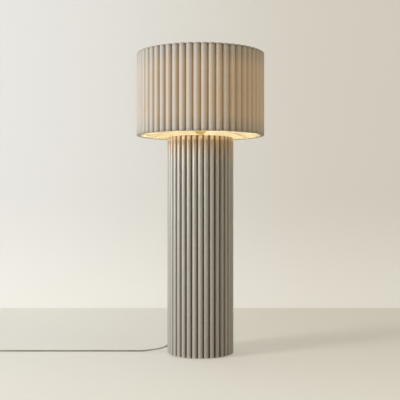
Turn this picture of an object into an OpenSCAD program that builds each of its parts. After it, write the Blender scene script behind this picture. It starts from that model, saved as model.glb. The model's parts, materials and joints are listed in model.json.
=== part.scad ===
// Drum shade floor lamp: a reeded round column carries a lamp-holder and a wide fluted drum shade.
// Millimetres, +Z up. The origin is on the floor, under the middle of the column.
// The side that faces the viewer is -Y. The mains cord leaves low on the left and rear.

/* [Column] */
// Diameter of the column over its reeds
column_d = 264; // [220:1:320]
// Height of the column's top face above the floor
column_top_z = 859; // [600:1:1100]
// Half-round reeds round the column
column_reeds = 35; // [28:1:44]
// Wall of the column behind the grooves
column_wall = 6; // [5:0.5:9]
// Rounding of each reed's top end
reed_top_round = 10; // [4:0.5:10]
// Rounding of each reed's bottom end
reed_bottom_round = 3; // [1:0.5:5]
// Floor of the groove between two reeds
column_quirk = 1; // [0.6:0.1:3]
// Thickness of the top plate
plate_t = 9; // [6:0.5:15]
// Wall left outside the rebates that hold the plate and the weight
rebate_lip = 2.6; // [2:0.1:4]

/* [Base] */
// Thickness of the felt pad that the lamp stands on
felt_t = 3; // [2:0.5:6]
// How far the felt stays inside the weight's edge
felt_inset = 6; // [3:1:20]
// Full thickness of the cast weight
weight_t = 16; // [14:0.5:17]
// Thickness of the weight's flange under the column's wall
flange_t = 4; // [3:0.5:6]
// Diameter of the recess for the lower nut
recess_d = 34; // [31:1:45]
// Depth of the recess for the lower nut
recess_depth = 9; // [8:0.5:10]

/* [Stem] */
// Outside diameter of the threaded tube
stem_d = 10; // [9:0.5:12]
// Bore of the threaded tube
stem_bore = 7; // [6.5:0.5:8]
// Nut's size across its flats
nut_flats = 17; // [16:1:19]
// Height of a nut
nut_h = 5; // [4:0.5:6]
// Diameter of a washer
washer_d = 26; // [22:1:28]
// Thickness of a washer
washer_t = 2; // [1.5:0.5:2.5]

/* [Lamp-holder] */
// Diameter of the lamp-holder
holder_d = 38; // [36:0.5:44]
// Height of the domed cup
cup_h = 24; // [22:1:30]
// Wall of the cup
cup_wall = 1.6; // [1.2:0.1:2]
// Wall of the sleeve
sleeve_wall = 2; // [1.5:0.1:2.4]
// Height of the shade's shoulder above the cup
shoulder_up = 14; // [10:1:18]
// Diameter of the shoulder
shoulder_d = 46; // [44:1:50]
// Thickness of the shoulder
shoulder_t = 3; // [2:0.5:4]
// Height of the neck between the column and the cup
neck_h = 14; // [11:1:40]
// Diameter of the neck's foot
neck_d = 34; // [30:1:40]
// Height of the threaded clamp ring
clamp_h = 6; // [4:0.5:8]
// Diameter of the clamp ring
clamp_d = 50; // [46:1:54]

/* [Bulb] */
// Diameter of the screw cap
cap_d = 26.5; // [26:0.1:27]
// Height of the screw cap
cap_h = 22; // [20:1:26]
// Diameter of the globe
globe_d = 60; // [50:1:80]
// Full length of the bulb
bulb_len = 109; // [95:1:130]

/* [Shade] */
// Diameter of the shade over its flutes
shade_d = 508; // [400:1:600]
// Height of the shade
shade_h = 325; // [200:1:450]
// Half-round flutes round the shade
shade_flutes = 56; // [44:1:70]
// Floor of the valley between two flutes
shade_quirk = 1; // [0.6:0.1:3]
// Thickness of the fluted skin
skin_t = 1.2; // [0.8:0.1:2]
// Thickness of the smooth liner
liner_t = 1; // [0.6:0.1:2]
// Height of the solid fluted band at the shade's top and bottom edges
hem_h = 8; // [5:0.5:15]
// Wire of the shade's two rings
wire_d = 5; // [4.5:0.5:7]
// Wire of the fitter's arms
arm_d = 4; // [3:0.5:4]
// Arms of the fitter
arm_count = 3; // [3:1:5]
// Direction of the first arm, in degrees from +X
first_arm = 30; // [0:5:90]
// Outside diameter of the fitter's centre ring
fitter_d = 64; // [58:1:80]
// Thickness of the fitter's centre ring
fitter_t = 2; // [1.5:0.5:3]
// Depth from the fitter's centre ring down to the shade's bottom edge
fitter_drop = 46; // [30:1:60]

/* [Cord] */
// Diameter of the mains cord
cord_d = 6; // [5.5:0.1:6.4]
// Height of the cord's hole at the groove's floor
cord_z = 31; // [29:0.5:40]
// Downward tilt of the cord's boot
boot_tilt = 24; // [8:1:26]
// Length of the boot's tapered tail
boot_tail = 24; // [20:1:35]
// Diameter of the boot where it fills the wall
boot_d = 10; // [9:0.5:11]
// Gap between neighbouring turns of the coil
coil_gap = 0.6; // [0.5:0.1:1]
// Turns in the coil, both layers together
coil_turns = 6.25; // [4.25:1:6.25]
// Width of the strap round the coil
tie_w = 12; // [8:1:16]
// Thickness of the strap
tie_t = 1; // [0.8:0.1:1.5]

/* [Foot switch] */
// Diameter of the round foot switch
switch_d = 64; // [60:1:68]
// Height of the switch's lower shell
switch_base_h = 12; // [12:0.5:14]
// Height of the switch's body
switch_h = 22; // [21:0.5:26]
// Wall of the switch's shells
switch_wall = 2; // [1.6:0.1:2.4]
// Rounding of the upper shell
switch_round = 8; // [5:0.5:9]
// Diameter of the button
button_d = 28; // [24:1:30]
// How far the button stands out of the shell
button_up = 5; // [4:0.5:8]
// Travel of the button
button_travel = 3; // [2:0.5:3.5]
// Height of the contact block
block_h = 6; // [5:0.5:7]
// Wire of the button's spring
spring_wire = 1.2; // [1:0.1:1.5]
// Curls of the button's spring
spring_curls = 4; // [3:1:6]

/* [Plug] */
// Width of the flat two-pin plug
plug_w = 35.3; // [33:0.1:37]
// Thickness of the plug
plug_t = 13.7; // [12:0.1:15]
// Length of the plug's straight body
plug_len = 22; // [18:1:30]
// Length of the plug's narrowing shoulder
plug_shoulder = 14; // [8:1:20]
// Length of the plug's tapered boot
plug_boot_len = 20; // [20:1:30]
// Diameter of a pin
pin_d = 4; // [3.8:0.1:4.8]
// Length of a pin
pin_len = 19; // [17:0.5:20]
// Distance between the pins
pin_gap = 18.6; // [17:0.1:19.2]

/* [Fits] */
// Clearance of a piece that seats in another
seat_gap = 0.3; // [0.1:0.1:0.5]
// Clearance round the threaded tube
stem_gap = 0.1; // [0.05:0.05:0.2]
// Clearance of what turns or slides
turn_gap = 0.3; // [0.2:0.1:0.5]

/* [Hidden] */

$fn = 96;

// Colours
c_column = [0.66, 0.63, 0.57];
c_shade = [0.80, 0.76, 0.69];
c_liner = [0.96, 0.92, 0.80];
c_cord = [0.78, 0.75, 0.70];
c_brass = [0.78, 0.62, 0.35];
c_steel = [0.72, 0.72, 0.72];
c_iron = [0.25, 0.25, 0.26];
c_felt = [0.30, 0.29, 0.28];
c_ceramic = [0.93, 0.92, 0.89];
c_opal = [0.98, 0.96, 0.90];

// A cut that goes past a face by this much
over = 1;

// Reeded and fluted outlines: n half-rounds stand on a core circle, a quirk apart
function reed_sine(n) = sin(180 / n);
function core_r(d, n, quirk) = (d / 2 + quirk / 2) / (1 + reed_sine(n));
function reed_r(d, n, quirk) = core_r(d, n, quirk) * reed_sine(n) - quirk / 2;

// Column
col_core_r = core_r(column_d, column_reeds, column_quirk);
col_reed_r = reed_r(column_d, column_reeds, column_quirk);
col_bore_r = col_core_r - column_wall;
rebate_r = col_core_r - rebate_lip;
col_pitch = 360 / column_reeds;
ledge_z = column_top_z - plate_t;

// Base
weight_top_z = felt_t + weight_t;
recess_top_z = felt_t + recess_depth;
nut_space_r = nut_flats / 2 / cos(30);

// Lamp-holder, from the column's top upwards
cup_z = column_top_z + neck_h;
cup_round = holder_d / 2 - stem_d / 2 - 4;
cup_boss_h = 10;
cup_boss_r = stem_d / 2 + 3;
sleeve_z = cup_z + cup_h;
sleeve_r = holder_d / 2;
sleeve_bore_r = sleeve_r - sleeve_wall;
sleeve_lip_t = 2;
shoulder_z = sleeve_z + shoulder_up;
insert_z = cup_z + cup_boss_h;
insert_h = 20;
insert_top_z = insert_z + insert_h;
insert_r = sleeve_bore_r - seat_gap;
wire_hole_x = 11;
wire_hole_d = 3;
screw_bore_r = cap_d / 2 + 0.15;
screw_wall = 0.5;
contact_t = 1.5;
contact_r = 4.5;
rivet_r = 1.5;
neck_top_r = cup_boss_r;
fitter_z = shoulder_z + turn_gap;
clamp_z = fitter_z + fitter_t + turn_gap;
stem_low_z = recess_top_z - washer_t - nut_h - 1;
stem_top_z = insert_z - over;

// Bulb, from its contact upwards; the sleeve ends just under the bulb's collar
bulb_z = insert_top_z + contact_t + 0.1;
tip_h = 2;
tip_cone_h = 3;
cap_z = bulb_z + tip_h + tip_cone_h;
cap_top_z = cap_z + cap_h;
sleeve_top_z = cap_top_z - 2 * seat_gap;
sleeve_h = sleeve_top_z - sleeve_z;
screw_top_z = sleeve_top_z - sleeve_lip_t - seat_gap;
globe_r = globe_d / 2;
globe_z = bulb_z + bulb_len - globe_r;
globe_t = 1.2;
globe_low = 0.56 * globe_r;
housing_top_z = globe_z - globe_low;
housing_top_r = sqrt(globe_r * globe_r - globe_low * globe_low);

// Shade
shade_z = fitter_z - fitter_drop;
shade_top_z = shade_z + shade_h;
shade_core_r = core_r(shade_d, shade_flutes, shade_quirk);
liner_r = shade_core_r - skin_t - seat_gap;
liner_bore_r = liner_r - liner_t;
wire_ring_r = liner_bore_r - seat_gap - wire_d / 2;
fitter_bore_r = sleeve_r + turn_gap;
arm_start_r = fitter_d / 2 - arm_d;

// The cord leaves through the groove nearest to this direction, in degrees from +X
cord_towards = 172;
groove_step = round((cord_towards + 90) / col_pitch - 0.5) + 0.5;
exit_angle = -90 + groove_step * col_pitch;
boot_bead_t = 3;
boot_bead_r = boot_d / 2 + 1.4;
boot_neck = (column_wall + boot_bead_r * sin(boot_tilt) + seat_gap) / cos(boot_tilt);
boot_tip_r = cord_d / 2 + 0.8;

// A point on the boot's axis, s beyond the groove's floor
function out_of(angle, r, z) = [r * cos(angle), r * sin(angle), z];
function boot_point(s) =
    out_of(exit_angle, col_core_r + s * cos(boot_tilt), cord_z - s * sin(boot_tilt));

// Foot switch, coil and plug lie on the floor where the cord ends
cord_y = 30;
switch_x = -902;
switch_cord_z = 7;
switch_boot_r = cord_d / 2 + 1.5;
switch_boot_out = 12;
switch_r = switch_d / 2;
button_top_z = switch_h + button_up;
button_flange_t = 2;
button_flange_r = button_d / 2 + 2;
button_flange_z = switch_h - switch_wall - seat_gap - button_flange_t;
stop_z = button_flange_z - button_travel - 0.1;
stop_w = 3;
button_cave_r = button_d / 2 - 4;
button_cave_top_z = button_top_z - 4;
block_z = switch_wall;
block_top_z = block_z + block_h;
block_w = 30;
block_d = 20;
spring_r = 7;
screw_y = 23;
screw_d = 3;
screw_head_d = 5.4;
screw_head_h = 2;
screw_sunk = 0.2;
post_d = 8;

coil_x = -976;
coil_pitch = cord_d + coil_gap;
coil_mean_r = 36;
coil_swing = coil_pitch * coil_turns / 4;
coil_out_r = coil_mean_r + coil_swing;
coil_in_r = coil_mean_r - coil_swing;
coil_y = cord_y + coil_out_r;
coil_low_z = tie_t + seat_gap + cord_d / 2;
coil_high_z = coil_low_z + coil_pitch;
coil_lead = cord_d;
loop_rings = 24;

plug_x = coil_x - coil_out_r;
plug_y = 118;
plug_z = plug_t / 2;
plug_boot_r = cord_d / 2 + 2.2;

// Route of the free cord, from the boot's tip to the foot switch
run_route = [
    boot_point(boot_tail),
    boot_point(boot_tail + 12),
    [-175, 24, 11],
    [-195, 26, 8.4],
    [-215, 28, 5.2],
    [-235, 29, 3],
    [-260, 30, 3],
    [-320, 30, 3],
    [-400, 30, 3],
    [-480, 30, 3],
    [-560, 30, 3],
    [-640, 30, 3],
    [-720, 30, 3],
    [-790, 30, 3],
    [-815, 30, 3],
    [-830, 30, 4],
    [-844, 30, 7],
    [switch_x + switch_r + switch_boot_out, cord_y, switch_cord_z]
];

// Route from the foot switch to the coil
link_route = [
    [switch_x - switch_r - switch_boot_out, cord_y, switch_cord_z],
    [-952, 30, 7],
    [-960, 30, 5],
    [-965, 30, 4.3],
    [coil_x + coil_lead, cord_y, coil_low_z]
];

// Route from the coil to the plug
tail_route = [
    [plug_x, coil_y + coil_lead, coil_high_z],
    [plug_x, 88, coil_high_z],
    [plug_x, 96, 9],
    [plug_x, 105, plug_z],
    [plug_x, plug_y, plug_z]
];

// Route of the sheathed lead inside the column, from the boot up to the stem's side hole
lead_top_z = 131;
lead_start = boot_neck + boot_bead_t;
lead_route = [
    boot_point(-lead_start),
    boot_point(-lead_start - 12),
    out_of(exit_angle, 78, 48),
    out_of(exit_angle, 60, 57),
    out_of(exit_angle, 44, 73),
    out_of(exit_angle, 30, 92),
    out_of(exit_angle, 18, 110),
    out_of(exit_angle, stem_d / 2 + 1, lead_top_z - over)
];
lead_tilt = 32;
wire_core_d = 2.8;

// Uniform cubic B-spline through a route, starting and ending on its end points
function spline_point(a, b, c, d, t) =
    let (u = 1 - t)
    (u * u * u * a + (3 * t * t * t - 6 * t * t + 4) * b
        + (3 * u * u * u - 6 * u * u + 4) * c + t * t * t * d) / 6;
function with_ends(p) =
    concat([2 * p[0] - p[1]], p, [2 * p[len(p) - 1] - p[len(p) - 2]]);
function smooth_route(p, step) =
    let (q = with_ends(p), n = len(p))
    concat(
        [for (i = [0 : n - 2])
            let (parts = max(1, round(norm(p[i + 1] - p[i]) / step)))
            for (k = [0 : parts - 1])
                spline_point(q[i], q[i + 1], q[i + 2], q[i + 3], k / parts)],
        [p[n - 1]]
    );

function unit(v) = v / norm(v);
function first_leg(p) = p[1] - p[0];
function last_leg(p) = p[len(p) - 1] - p[len(p) - 2];
function heading(p, i, first, last) =
    unit(i == 0 ? first : i == len(p) - 1 ? last : p[i + 1] - p[i - 1]);
function path_length(p) =
    let (steps = [for (i = [1 : len(p) - 1]) norm(p[i] - p[i - 1])])
    steps * [for (s = steps) 1];

// One polyhedron swept round a path, with ends square to first and last.
// up is a direction that the path never takes
module tube(path, r, sides, first, last, up = [0, 0, 1]) {
    n = len(path);
    rings = [
        for (i = [0 : n - 1])
            let (
                t = heading(path, i, first, last),
                a = unit(cross(t, up)),
                b = cross(a, t)
            )
            for (k = [0 : sides - 1])
                let (w = (k + 0.5) * 360 / sides)
                path[i] + r * (cos(w) * a + sin(w) * b)
    ];
    walls = [
        for (i = [0 : n - 2])
            for (k = [0 : sides - 1])
                let (
                    a = i * sides + k,
                    b = i * sides + (k + 1) % sides
                )
                for (face = [[a, b, b + sides], [a, b + sides, a + sides]])
                    face
    ];
    first_end = [for (k = [1 : sides - 2]) [0, k + 1, k]];
    m = (n - 1) * sides;
    last_end = [for (k = [1 : sides - 2]) [m, m + k, m + k + 1]];
    polyhedron(points = rings, faces = concat(walls, first_end, last_end));
}

// A cord along a route
module routed(route, path, sides = 8, up = [0, 0, 1]) {
    tube(path, cord_d / 2, sides, first_leg(route), last_leg(route), up);
}

// Outline of a reeded or fluted drum; back moves the whole outline inwards
module fluted_outline(d, n, quirk, back = 0) {
    core = core_r(d, n, quirk);
    circle(r = core - back);
    for (i = [0 : n - 1])
        rotate(-90 + i * 360 / n)
            translate([core, 0])
                circle(r = reed_r(d, n, quirk) - back, $fn = 32);
}

// Half profile of a drum whose two outer corners are rounded
module rounded_profile(r, h, top, bottom) {
    square([r - top, h]);
    square([r - bottom, h - top]);
    translate([0, bottom])
        square([r, h - top - bottom]);
    translate([r - top, h - top])
        circle(r = top);
    translate([r - bottom, bottom])
        circle(r = bottom);
}

// A straight round rod between two points
module rod(a, b, d) {
    v = b - a;
    translate(a)
        rotate([0, acos(v[2] / norm(v)), atan2(v[1], v[0])])
            cylinder(d = d, h = norm(v), $fn = 32);
}

module ring(outer_r, inner_r, h) {
    difference() {
        cylinder(r = outer_r, h = h);
        translate([0, 0, -over])
            cylinder(r = inner_r, h = h + 2 * over);
    }
}

// Puts a piece on the boot's axis: its own +Z points out along the cord
module on_boot_axis(s) {
    translate(boot_point(s))
        rotate([0, 90 + boot_tilt, exit_angle])
            children();
}

// Column: reeds, wall, rebates and the cord's hole
module column_shell() {
    h = column_top_z - felt_t;
    color(c_column)
        difference() {
            translate([0, 0, felt_t])
                intersection() {
                    linear_extrude(h)
                        fluted_outline(column_d, column_reeds, column_quirk);
                    rotate_extrude()
                        rounded_profile(column_d / 2, h, reed_top_round, reed_bottom_round);
                }
            translate([0, 0, felt_t - over])
                cylinder(r = col_bore_r, h = h + 2 * over);
            translate([0, 0, ledge_z])
                cylinder(r = rebate_r, h = plate_t + over);
            translate([0, 0, felt_t - over])
                cylinder(r = rebate_r, h = flange_t + over);
            on_boot_axis(-2 * column_wall)
                cylinder(d = boot_d + 2 * seat_gap, h = 4 * column_wall + 2 * col_reed_r, $fn = 48);
        }
}

module top_plate() {
    color(c_column)
        translate([0, 0, ledge_z])
            ring(rebate_r - seat_gap, stem_d / 2 + stem_gap, plate_t);
}

// Base: cast weight with a flange under the wall, and felt
module base_weight() {
    color(c_iron)
        difference() {
            union() {
                translate([0, 0, felt_t])
                    cylinder(r = rebate_r - seat_gap, h = flange_t);
                translate([0, 0, felt_t])
                    cylinder(r = col_bore_r - seat_gap, h = weight_t);
            }
            translate([0, 0, felt_t - over])
                cylinder(d = recess_d, h = recess_depth + over);
            cylinder(d = stem_d + 2 * stem_gap, h = weight_top_z + over);
        }
}

module felt_pad() {
    color(c_felt)
        ring(rebate_r - seat_gap - felt_inset, recess_d / 2, felt_t);
}

// Stem: a threaded tube clamps the weight, the column and the top plate together
module stem_hole_for_lead() {
    translate(out_of(exit_angle, 0, lead_top_z + stem_d / 2 / tan(lead_tilt)))
        rotate([0, 180 - lead_tilt, exit_angle])
            cylinder(r = cord_d / 2 + seat_gap, h = 3 * stem_d, $fn = 32);
}

module stem() {
    color(c_steel)
        difference() {
            translate([0, 0, stem_low_z])
                cylinder(d = stem_d, h = stem_top_z - stem_low_z, $fn = 48);
            translate([0, 0, stem_low_z - over])
                cylinder(d = stem_bore, h = stem_top_z - stem_low_z + 2 * over, $fn = 48);
            stem_hole_for_lead();
        }
}

module hex_nut() {
    difference() {
        cylinder(r = nut_space_r, h = nut_h, $fn = 6);
        translate([0, 0, -over])
            cylinder(d = stem_d + 2 * stem_gap, h = nut_h + 2 * over, $fn = 48);
    }
}

module stem_nuts() {
    color(c_brass) {
        translate([0, 0, recess_top_z - washer_t - nut_h])
            hex_nut();
        translate([0, 0, column_top_z + washer_t])
            hex_nut();
    }
}

module stem_washers() {
    color(c_steel)
        for (z = [recess_top_z - washer_t, column_top_z])
            translate([0, 0, z])
                ring(washer_d / 2, stem_d / 2 + stem_gap, washer_t);
}

// A turned bell covers the upper nut and carries the lamp-holder
module neck_collar() {
    cave_h = washer_t + nut_h + over;
    color(c_brass)
        translate([0, 0, column_top_z])
            rotate_extrude()
                difference() {
                    polygon([
                        [0, 0], [neck_d / 2, 0], [neck_d / 2, 2],
                        [neck_top_r + 2, neck_h - 3], [neck_top_r, neck_h], [0, neck_h]
                    ]);
                    translate([-over, -over])
                        square([stem_d / 2 + stem_gap + over, neck_h + 2 * over]);
                    translate([-over, -over])
                        square([washer_d / 2 + seat_gap + over, washer_t + seat_gap + over]);
                    translate([-over, -over])
                        square([nut_space_r + seat_gap + over, cave_h + over]);
                }
}

// Lamp-holder
module holder_cup() {
    color(c_brass)
        translate([0, 0, cup_z])
            rotate_extrude()
                difference() {
                    intersection() {
                        union() {
                            difference() {
                                rounded_profile(sleeve_r, 2 * cup_h, cup_round, cup_round);
                                translate([-over, cup_wall])
                                    rounded_profile(
                                        sleeve_r - cup_wall + over, 2 * cup_h,
                                        cup_round - cup_wall, cup_round - cup_wall
                                    );
                            }
                            square([cup_boss_r, cup_boss_h]);
                        }
                        square([sleeve_r + over, cup_h]);
                    }
                    translate([-over, -over])
                        square([stem_d / 2 + stem_gap + over, cup_boss_h + 2 * over]);
                }
}

module holder_sleeve() {
    color(c_ceramic)
        translate([0, 0, sleeve_z])
            rotate_extrude()
                difference() {
                    union() {
                        square([sleeve_r, sleeve_h]);
                        translate([0, shoulder_up - shoulder_t])
                            square([shoulder_d / 2, shoulder_t]);
                    }
                    translate([-over, -over])
                        square([sleeve_bore_r + over, sleeve_h - sleeve_lip_t + over]);
                    translate([-over, 0])
                        square([screw_bore_r + over, sleeve_h + over]);
                }
}

module holder_insert() {
    color(c_ceramic)
        difference() {
            translate([0, 0, insert_z])
                cylinder(r = insert_r, h = insert_h);
            translate([0, 0, insert_z - over])
                cylinder(r = rivet_r + stem_gap, h = insert_h + 2 * over, $fn = 32);
            translate([0, 0, insert_z - over])
                cylinder(r = stem_bore / 2, h = insert_h / 3 + over, $fn = 32);
            for (side = [-1, 1])
                translate([side * wire_hole_x, 0, insert_z - over])
                    cylinder(d = wire_hole_d, h = insert_h / 2, $fn = 24);
        }
}

module holder_screw_shell() {
    color(c_brass)
        translate([0, 0, insert_top_z])
            ring(screw_bore_r + screw_wall, screw_bore_r, screw_top_z - insert_top_z);
}

module holder_contact() {
    color(c_brass) {
        translate([0, 0, insert_top_z])
            cylinder(r = contact_r, h = contact_t, $fn = 48);
        translate([0, 0, insert_top_z - insert_h / 2])
            cylinder(r = rivet_r, h = insert_h / 2 + over, $fn = 32);
    }
}

module clamp_ring() {
    bevel = 1;
    color(c_ceramic)
        translate([0, 0, clamp_z])
            rotate_extrude()
                translate([sleeve_r + stem_gap, 0])
                    polygon([
                        [0, 0], [clamp_d / 2 - sleeve_r - stem_gap, 0],
                        [clamp_d / 2 - sleeve_r - stem_gap, clamp_h - bevel],
                        [clamp_d / 2 - sleeve_r - stem_gap - bevel, clamp_h], [0, clamp_h]
                    ]);
}

// Bulb
module bulb_tip() {
    color(c_steel)
        translate([0, 0, bulb_z])
            rotate_extrude()
                polygon([
                    [0, 0], [contact_r - 0.5, 0], [contact_r, 0.6], [contact_r, tip_h],
                    [contact_r + 2, tip_h], [cap_d / 2 - 1, tip_h + tip_cone_h],
                    [0, tip_h + tip_cone_h]
                ]);
}

module bulb_cap() {
    color(c_steel)
        translate([0, 0, cap_z])
            ring(cap_d / 2, cap_d / 2 - screw_wall, cap_h);
}

module bulb_housing() {
    h = housing_top_z - cap_top_z;
    plug_in = 6;
    color(c_ceramic)
        translate([0, 0, cap_top_z])
            rotate_extrude()
                polygon([
                    [0, -plug_in], [cap_d / 2 - screw_wall - stem_gap, -plug_in],
                    [cap_d / 2 - screw_wall - stem_gap, 0], [cap_d / 2 + 1, 0],
                    [cap_d / 2 + 1.5, 1.5], [cap_d / 2 + 2, 0.25 * h],
                    [housing_top_r - 3, 0.7 * h], [housing_top_r, 0.93 * h],
                    [housing_top_r, h], [0, h]
                ]);
}

module bulb_globe() {
    color(c_opal)
        translate([0, 0, globe_z])
            rotate_extrude()
                intersection() {
                    difference() {
                        circle(r = globe_r);
                        circle(r = globe_r - globe_t);
                    }
                    translate([0, -globe_low])
                        square([globe_d, globe_low + globe_d]);
                }
}

// Shade: fluted skin on a smooth liner, between two fluted end bands. A valley faces the viewer
module shade_outline(back = 0) {
    rotate(180 / shade_flutes)
        fluted_outline(shade_d, shade_flutes, shade_quirk, back);
}

module shade_skin() {
    color(c_shade)
        translate([0, 0, shade_z + hem_h])
            linear_extrude(shade_h - 2 * hem_h)
                difference() {
                    shade_outline();
                    shade_outline(skin_t);
                }
}

module shade_liner() {
    color(c_liner)
        translate([0, 0, shade_z])
            ring(liner_r, liner_bore_r, shade_h);
}

module shade_hem(z) {
    color(c_shade)
        translate([0, 0, z])
            linear_extrude(hem_h)
                difference() {
                    shade_outline();
                    circle(r = liner_r + seat_gap);
                }
}

module shade_hem_bottom() {
    shade_hem(shade_z);
}

module shade_hem_top() {
    shade_hem(shade_top_z - hem_h);
}

module wire_ring(z) {
    translate([0, 0, z])
        rotate_extrude()
            translate([wire_ring_r, 0])
                circle(d = wire_d, $fn = 32);
}

// The fitter: bottom wire ring, sloping arms and the ring that sits on the lamp-holder
module shade_fitter() {
    ring_z = shade_z + wire_d / 2;
    color(c_ceramic)
        union() {
            wire_ring(ring_z);
            translate([0, 0, fitter_z])
                ring(fitter_d / 2, fitter_bore_r, fitter_t);
            for (i = [0 : arm_count - 1])
                let (a = first_arm + i * 360 / arm_count)
                rod(
                    out_of(a, arm_start_r, fitter_z + fitter_t / 2),
                    out_of(a, wire_ring_r, ring_z),
                    arm_d
                );
        }
}

module shade_top_ring() {
    color(c_ceramic)
        wire_ring(shade_top_z - wire_d / 2);
}

// Wiring inside the column
module inner_lead() {
    color(c_cord)
        routed(lead_route, smooth_route(lead_route, 15), up = out_of(exit_angle + 90, 1, 0));
}

module stem_wires() {
    past_stem = 3;
    color(c_steel)
        for (side = [-1, 1])
            translate(out_of(exit_angle + 90, side * (wire_core_d / 2 + stem_gap), lead_top_z))
                cylinder(d = wire_core_d, h = stem_top_z + past_stem - lead_top_z, $fn = 24);
}

// Boot: a tapered sleeve moulded on the cord fills the hole in the wall
module cord_boot() {
    color(c_cord)
        on_boot_axis(-lead_start)
            rotate_extrude($fn = 48)
                polygon([
                    [0, 0], [boot_bead_r - 1, 0], [boot_bead_r, 1], [boot_bead_r, boot_bead_t],
                    [boot_d / 2, boot_bead_t], [boot_d / 2, lead_start + 2],
                    [boot_tip_r, lead_start + boot_tail], [0, lead_start + boot_tail]
                ]);
}

// Free cord
run_path = smooth_route(run_route, 16);
link_path = smooth_route(link_route, 6);
tail_path = smooth_route(tail_route, 6);

module cord_run() {
    color(c_cord)
        routed(run_route, run_path);
}

module cord_link() {
    color(c_cord)
        routed(link_route, link_path);
}

module cord_tail() {
    color(c_cord)
        routed(tail_route, tail_path);
}

// The coil spirals in on the floor, climbs while it turns back, and spirals out on top
coil_angle = 360 * coil_turns;
function coil_r(a) =
    coil_in_r + coil_pitch * abs(a - coil_angle / 2) / 360;
function coil_z(a) =
    coil_low_z + coil_pitch * max(0, min(1, (a - coil_angle / 2 + 90) / 180));
function coil_point(a) =
    [
        coil_x + coil_r(a) * cos(-90 - a),
        coil_y + coil_r(a) * sin(-90 - a),
        coil_z(a)
    ];
coil_steps = coil_turns * loop_rings;
coil_path = concat(
    [[coil_x + coil_lead, coil_y - coil_out_r, coil_low_z]],
    [for (i = [0 : coil_steps]) coil_point(i * 360 / loop_rings)],
    [[coil_x - coil_out_r, coil_y + coil_lead, coil_high_z]]
);
coil_least = min([
    for (i = [0 : len(coil_path) - 1 - loop_rings / 2])
        for (j = [i + loop_rings / 2 : len(coil_path) - 1])
            norm(coil_path[i] - coil_path[j])
]) - cord_d;
echo(str("coil: least gap to itself ", coil_least, " mm"));
cord_parts = [for (p = [run_path, link_path, coil_path, tail_path]) path_length(p)];
echo(str("cord: run, link, coil, tail ", cord_parts, " mm"));
echo(str("cord: whole length with the switch ", cord_parts * [1, 1, 1, 1]
    + 2 * (switch_r + switch_boot_out), " mm"));

module cord_coil() {
    color(c_cord)
        routed(coil_path, coil_path, 6);
}

// A strap round the coil, on the side away from the lamp
module coil_tie() {
    inner_edge = coil_in_r - cord_d / 2;
    sag = inner_edge - sqrt(inner_edge * inner_edge - tie_w * tie_w / 4);
    x_low = coil_x - coil_out_r - cord_d / 2 - seat_gap;
    x_high = coil_x - inner_edge + sag + seat_gap;
    hole_w = x_high - x_low;
    hole_h = coil_pitch + cord_d + 2 * seat_gap;
    color(c_iron)
        translate([x_low, coil_y + tie_w / 2, tie_t])
            rotate([90, 0, 0])
                linear_extrude(tie_w)
                    difference() {
                        translate([-tie_t, -tie_t])
                            square([hole_w + 2 * tie_t, hole_h + 2 * tie_t]);
                        square([hole_w, hole_h]);
                    }
}

// Foot switch
module on_switch() {
    translate([switch_x, cord_y, 0])
        children();
}

module switch_posts(z, h) {
    for (side = [-1, 1])
        translate([0, side * screw_y, z])
            cylinder(d = post_d, h = h, $fn = 32);
}

module switch_screw_holes(z, h, d) {
    for (side = [-1, 1])
        translate([0, side * screw_y, z])
            cylinder(d = d, h = h, $fn = 32);
}

module switch_base() {
    bottom_round = 2;
    color(c_cord)
        on_switch()
            difference() {
                union() {
                    rotate_extrude()
                        difference() {
                            intersection() {
                                rounded_profile(switch_r, 2 * switch_base_h, bottom_round, bottom_round);
                                square([switch_d, switch_base_h]);
                            }
                            translate([-over, switch_wall])
                                square([switch_r - switch_wall + over, switch_base_h]);
                        }
                    switch_posts(switch_wall, switch_base_h - switch_wall);
                }
                translate([-switch_d, 0, switch_cord_z])
                    rotate([0, 90, 0])
                        cylinder(r = switch_boot_r + seat_gap, h = 2 * switch_d, $fn = 32);
                switch_screw_holes(-over, switch_base_h + 2 * over, screw_d + 2 * stem_gap);
                switch_screw_holes(-over, screw_head_h + over, screw_head_d + 2 * stem_gap);
            }
}

module switch_cover() {
    color(c_cord)
        on_switch()
            difference() {
                union() {
                    rotate_extrude()
                        difference() {
                            intersection() {
                                translate([0, -switch_h])
                                    rounded_profile(switch_r, 2 * switch_h, switch_round, switch_round);
                                translate([0, switch_base_h])
                                    square([switch_d, switch_h]);
                            }
                            translate([-over, -switch_h])
                                rounded_profile(
                                    switch_r - switch_wall + over,
                                    2 * switch_h - switch_wall,
                                    switch_round - switch_wall, switch_round - switch_wall
                                );
                            square([button_d / 2 + turn_gap, switch_h + over]);
                        }
                    switch_posts(switch_base_h, switch_h - switch_base_h - switch_wall / 2);
                }
                switch_screw_holes(
                    switch_base_h - over,
                    switch_h - switch_base_h - switch_wall - over,
                    screw_d + 2 * stem_gap
                );
            }
}

module switch_button() {
    crown = 2;
    color(c_ceramic)
        on_switch()
            rotate_extrude()
                difference() {
                    union() {
                        intersection() {
                            rounded_profile(button_d / 2, button_top_z, crown, crown);
                            translate([0, button_flange_z])
                                square([button_d, switch_d]);
                        }
                        translate([0, button_flange_z])
                            square([button_flange_r, button_flange_t]);
                    }
                    square([button_cave_r, button_cave_top_z]);
                }
}

module switch_spring() {
    low = block_top_z + spring_wire / 2 + seat_gap;
    high = button_cave_top_z - spring_wire / 2 - seat_gap;
    curl_rings = 8;
    steps = spring_curls * curl_rings;
    path = [
        for (i = [0 : steps])
            let (a = i * 360 / curl_rings)
            [
                switch_x + spring_r * cos(a),
                cord_y + spring_r * sin(a),
                low + (high - low) * i / steps
            ]
    ];
    color(c_steel)
        tube(path, spring_wire / 2, 6, first_leg(path), last_leg(path));
}

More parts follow.
